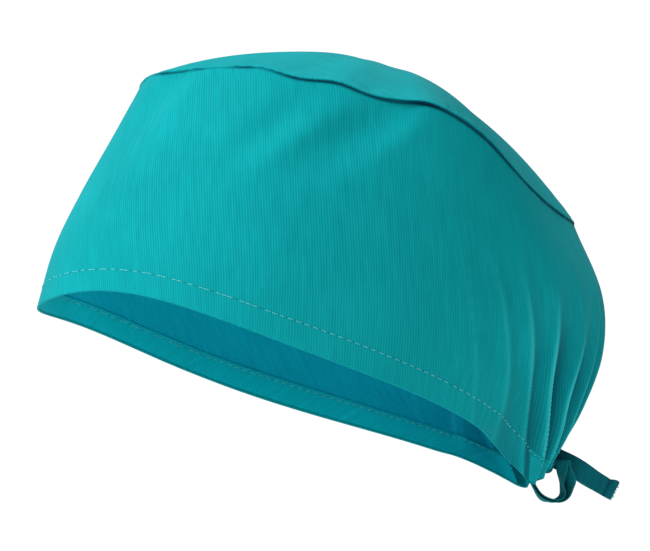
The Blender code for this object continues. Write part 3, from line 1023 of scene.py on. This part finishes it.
def tape_piece(name, line, sizes, material, gapes, hemmed, facing):
    """Tie of cloth folded lengthwise: a wide strip laid double, open along one edge."""
    half = sizes.tape_width / 2
    across = 28
    lengths = [0.0]
    for (here, _), (ahead, _) in zip(line, line[1:]):
        lengths.append(lengths[-1] + (ahead - here).length)

    def hem_share(row):
        """0 where the turned-in end begins and 1 at the cut."""
        return (lengths[row] - lengths[-1] + TIE_HEM) / TIE_HEM

    def profile(column, row):
        """Across and outward place of the folded strip."""
        reach = (column / across - 0.5) * 2 * (2 * half)
        opened = sum(gape["width"] * bell(lengths[row] / lengths[-1] - gape["at"], gape["spread"])
                     for gape in gapes)
        if hemmed:
            end = hem_share(row)
            opened += TIE_END_GAPE * math.sin(min(max(end, 0.0), 1.0) * math.pi) ** 2
            opened -= TIE_END_CREASE * bell(end + 0.15, 0.25)
        curl = TIE_ROLL * math.pi / 2
        if abs(reach) < curl:
            turn = reach / TIE_ROLL
            return half - TIE_ROLL + TIE_ROLL * math.cos(turn), TIE_ROLL * math.sin(turn)
        rest = abs(reach) - curl
        layer = math.copysign(TIE_ROLL + opened * (rest / (2 * half)) ** 1.5, reach)
        return half - TIE_ROLL - rest, layer + TIE_RIPPLE * math.sin(rest * 900 + row * 0.35)

    def place(column, row):
        point, turn = line[row]
        before = line[max(row - 1, 0)][0]
        after = line[min(row + 1, len(line) - 1)][0]
        width, outward = tape_frame((after - before).normalized(), turn)
        sideways, out = profile(column, row)
        wave = TIE_WAVE * math.sin(lengths[row] * 520 + 1.3) * (sideways / half)
        return point + width * sideways * facing + outward * (out + wave)

    def cloth(column, row):
        return (column / across - 0.5) * 4 * half, lengths[row]

    # Painted shade on the free tie near the knot and in the crease before its turned-in end
    def shade(column, row):
        if not hemmed:
            return 0.0
        knot = 0.80 * (1 - ease(lengths[row] / 0.014))
        return min(knot + 0.60 * bell(hem_share(row) + 0.10, 0.13), 1.0)

    sheet = shape_grid(across, len(line) - 1, place, cloth, shade)
    bmesh.ops.recalc_face_normals(sheet, faces=sheet.faces)
    tape = cloth_object(name, sheet, [material])
    thicken(tape, TIE_CLOTH, offset=0.0, inner=0)
    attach(tape, "root")
    return tape, lengths[-1]


class CAP_OT_ties(bpy.types.Operator):
    """Folded ties: the loop, the free end and the stretch into the far casing"""
    bl_idname = "cap.ties"
    bl_label = "Ties"

    def execute(self, context):
        sizes, finish = context.scene.cap_sizes, context.scene.cap_finish
        form = CapForm(sizes)
        for name, cad, route, gapes, cloth, facing in (
                ("loop_tie", "tie_loop", LOOP_ROUTE, LOOP_GAPES, "tie twill", -1),
                # The free tie takes the darker twill, which is painted shade
                ("free_tie", "tie_end", END_ROUTE, END_GAPES, "tie twill back", 1),
                ("far_tie", "tie_far", FAR_ROUTE, [], "tie twill", 1)):
            line = smooth_route(form, route, sizes.tape_width, 9)
            tape, length = tape_piece(name, line, sizes, twill(sizes, finish, cloth), gapes,
                                      name == "free_tie", facing)
            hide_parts(cad)
        return {"FINISHED"}


class CAP_OT_frayed_threads(bpy.types.Operator):
    """Short frayed threads at the cut end of the free tie"""
    bl_idname = "cap.frayed_threads"
    bl_label = "Frayed threads"

    def execute(self, context):
        sizes, finish = context.scene.cap_sizes, context.scene.cap_finish
        form = CapForm(sizes)
        line = smooth_route(form, END_ROUTE, sizes.tape_width, 9)
        (before, _), (end, turn) = line[-3], line[-1]
        along = (end - before).normalized()
        width, outward = tape_frame(along, turn)
        fibres = bmesh.new()
        for number in range(FRAYED_COUNT):
            spread = (number + 0.5) / FRAYED_COUNT * 2 - 1
            jitter = noise.noise((number * 3.1, 0.0, 0.0))
            start = end + width * spread * sizes.tape_width * 0.47 - along * 0.0004
            start += outward * (0.00030 if number % 2 else -0.00030)
            length = FRAYED_LENGTH + FRAYED_LONGER * abs(noise.noise((number * 1.9, 5.0, 0.0)))
            lean = along + width * jitter * 0.9 + outward * jitter * 0.5
            fibre = bmesh.ops.create_cone(fibres, cap_ends=True, segments=5, radius1=FRAYED_ROOT,
                                          radius2=FRAYED_TIP, depth=length)
            turned = lean.to_track_quat("Z", "X")
            bmesh.ops.rotate(fibres, verts=fibre["verts"], matrix=turned.to_matrix())
            bmesh.ops.translate(fibres, verts=fibre["verts"],
                                vec=start + lean.normalized() * length / 2)
        material = twisted_thread("frayed thread", finish.thread, sizes.stitch_pitch / 15)
        frayed = cloth_object("frayed_threads", fibres, [material])
        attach(frayed, "root")
        return {"FINISHED"}


class CAP_OT_knot(bpy.types.Operator):
    """Small knot of the two ties, wrapped over itself behind the gathers"""
    bl_idname = "cap.knot"
    bl_label = "Knot"

    def execute(self, context):
        sizes, finish = context.scene.cap_sizes, context.scene.cap_finish
        form = CapForm(sizes)
        middle = form.notch_point(KNOT_PLACE, sizes.tape_width)
        knot = bmesh.new()
        for number, wrap in enumerate(WRAPS):
            made = bmesh.ops.create_uvsphere(knot, u_segments=40, v_segments=24, radius=0.5)
            turn = Euler((math.radians(18 * number), math.radians(12 - 9 * number),
                          math.radians(wrap["tilt"])))
            for vert in made["verts"]:
                spot = vert.co.copy()
                across = spot.z * 2
                swell = 1.0 + 0.10 * math.cos(across * 7.0) - 0.20 * across ** 4
                swell += 0.03 * noise.noise(spot * 9 + Vector((number, 0, 0)))
                spot = Vector((spot.x * swell, spot.y * swell, spot.z * 0.62))
                spot.rotate(turn)
                vert.co = spot * Vector(wrap["shape"])
        bounds = [max(abs(vert.co[axis]) for vert in knot.verts) for axis in range(3)]
        goal = [sizes.tape_width * share / 2 for share in KNOT_SIZE]
        for vert in knot.verts:
            vert.co = middle + Vector([vert.co[axis] * goal[axis] / bounds[axis]
                                       for axis in range(3)])
        uv_map = knot.loops.layers.uv.new("cloth")
        for face in knot.faces:
            for loop in face.loops:
                loop[uv_map].uv = (loop.vert.co.x + loop.vert.co.y * 0.6, loop.vert.co.z)
        piece = cloth_object("tie_knot_wraps", knot, [twill(sizes, finish, "tie twill")])
        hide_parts("tie_knot")
        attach(piece, "root")
        return {"FINISHED"}


def aimed(thing, place, target):
    """Puts a light or the camera in its place, turned to its target."""
    thing.location = place
    thing.rotation_euler = (Vector(target) - Vector(place)).to_track_quat("-Z", "Y").to_euler()
    bpy.context.scene.collection.objects.link(thing)


class CAP_OT_studio(bpy.types.Operator):
    """Pale floor, soft studio light and the camera"""
    bl_idname = "cap.studio"
    bl_label = "Studio"

    def execute(self, context):
        finish = context.scene.cap_finish
        slab = bmesh.new()
        bmesh.ops.create_grid(slab, x_segments=1, y_segments=1, size=6.0)
        bmesh.ops.translate(slab, vec=(0.0, 0.0, FLOOR_HEIGHT), verts=slab.verts)
        material, tree, shader = new_material("pale floor")
        place = node(tree, "ShaderNodeTexCoord")
        mottle = pattern(tree, "ShaderNodeTexNoise", (place, "Object"), {"Scale": 3.0})
        ramp = tones(tree, (mottle, "Fac"), (0.0, [part * 0.98 for part in finish.floor]),
                     (1.0, finish.floor))
        link(tree, (ramp, 0), shader, "Base Color")
        shader.inputs["Roughness"].default_value = 0.9
        shader.inputs["Emission Color"].default_value = (*finish.floor_glow, 1.0)
        shader.inputs["Emission Strength"].default_value = 1.0
        cloth_object("studio_floor", slab, [material])

        for name, row in LIGHTS.items():
            lamp = bpy.data.lights.new(name, "AREA")
            lamp.shape = "DISK"
            lamp.size = row["size"]
            lamp.energy = row["power"]
            aimed(bpy.data.objects.new(name, lamp), row["place"], CAP_MIDDLE)
        world = bpy.data.worlds.new("studio air")
        context.scene.world = world
        world.use_nodes = True
        tree = world.node_tree
        tree.nodes.clear()
        rays = node(tree, "ShaderNodeLightPath")
        mix = node(tree, "ShaderNodeMixShader")
        link(tree, (rays, "Is Camera Ray"), mix, 0)
        for socket, tint, strength in ((1, (0.93, 0.97, 1.0, 1.0), 0.20),
                                       (2, (1.0, 1.0, 1.0, 1.0), 1.05)):
            air = node(tree, "ShaderNodeBackground")
            air.inputs["Color"].default_value = tint
            air.inputs["Strength"].default_value = strength
            link(tree, (air, 0), mix, socket)
        link(tree, (mix, 0), node(tree, "ShaderNodeOutputWorld"), 0)
        context.scene.view_settings.view_transform = "Standard"

        lens = bpy.data.cameras.new("photo camera")
        lens.sensor_width = 36.0
        lens.lens = CAMERA_LENS
        lens.clip_start = 0.05
        camera = bpy.data.objects.new("photo camera", lens)
        turn, rise = math.radians(CAMERA_TURN), math.radians(CAMERA_RISE)
        away = Vector((math.cos(rise) * math.cos(turn), -math.cos(rise) * math.sin(turn),
                       math.sin(rise)))
        aimed(camera, Vector(CAMERA_TARGET) + away * CAMERA_DISTANCE, CAMERA_TARGET)
        context.scene.camera = camera
        return {"FINISHED"}


class CAP_PT_sidebar(bpy.types.Panel):
    bl_idname = "CAP_PT_sidebar"
    bl_label = "Medical cap"
    bl_space_type = "VIEW_3D"
    bl_region_type = "UI"
    bl_category = "Medical cap"

    def draw(self, context):
        for operator in OPERATORS:
            self.layout.operator(operator.bl_idname)
        for group in (context.scene.cap_sizes, context.scene.cap_finish):
            for name in group.__annotations__:
                self.layout.prop(group, name)


OPERATORS = (CAP_OT_side_band, CAP_OT_crown_panel, CAP_OT_hem_stitches, CAP_OT_ties,
             CAP_OT_frayed_threads, CAP_OT_knot, CAP_OT_studio)
CLASSES = (CapSizes, CapFinish, *OPERATORS, CAP_PT_sidebar)


def register():
    for item in CLASSES:
        bpy.utils.register_class(item)
    bpy.types.Scene.cap_sizes = PointerProperty(type=CapSizes)
    bpy.types.Scene.cap_finish = PointerProperty(type=CapFinish)


def unregister():
    del bpy.types.Scene.cap_finish
    del bpy.types.Scene.cap_sizes
    for item in reversed(CLASSES):
        bpy.utils.unregister_class(item)


def main():
    register()
    bpy.ops.cap.side_band()
    bpy.ops.cap.crown_panel()
    bpy.ops.cap.hem_stitches()
    bpy.ops.cap.ties()
    bpy.ops.cap.frayed_threads()
    bpy.ops.cap.knot()
    bpy.ops.cap.studio()


if __name__ == "__main__":
    main()
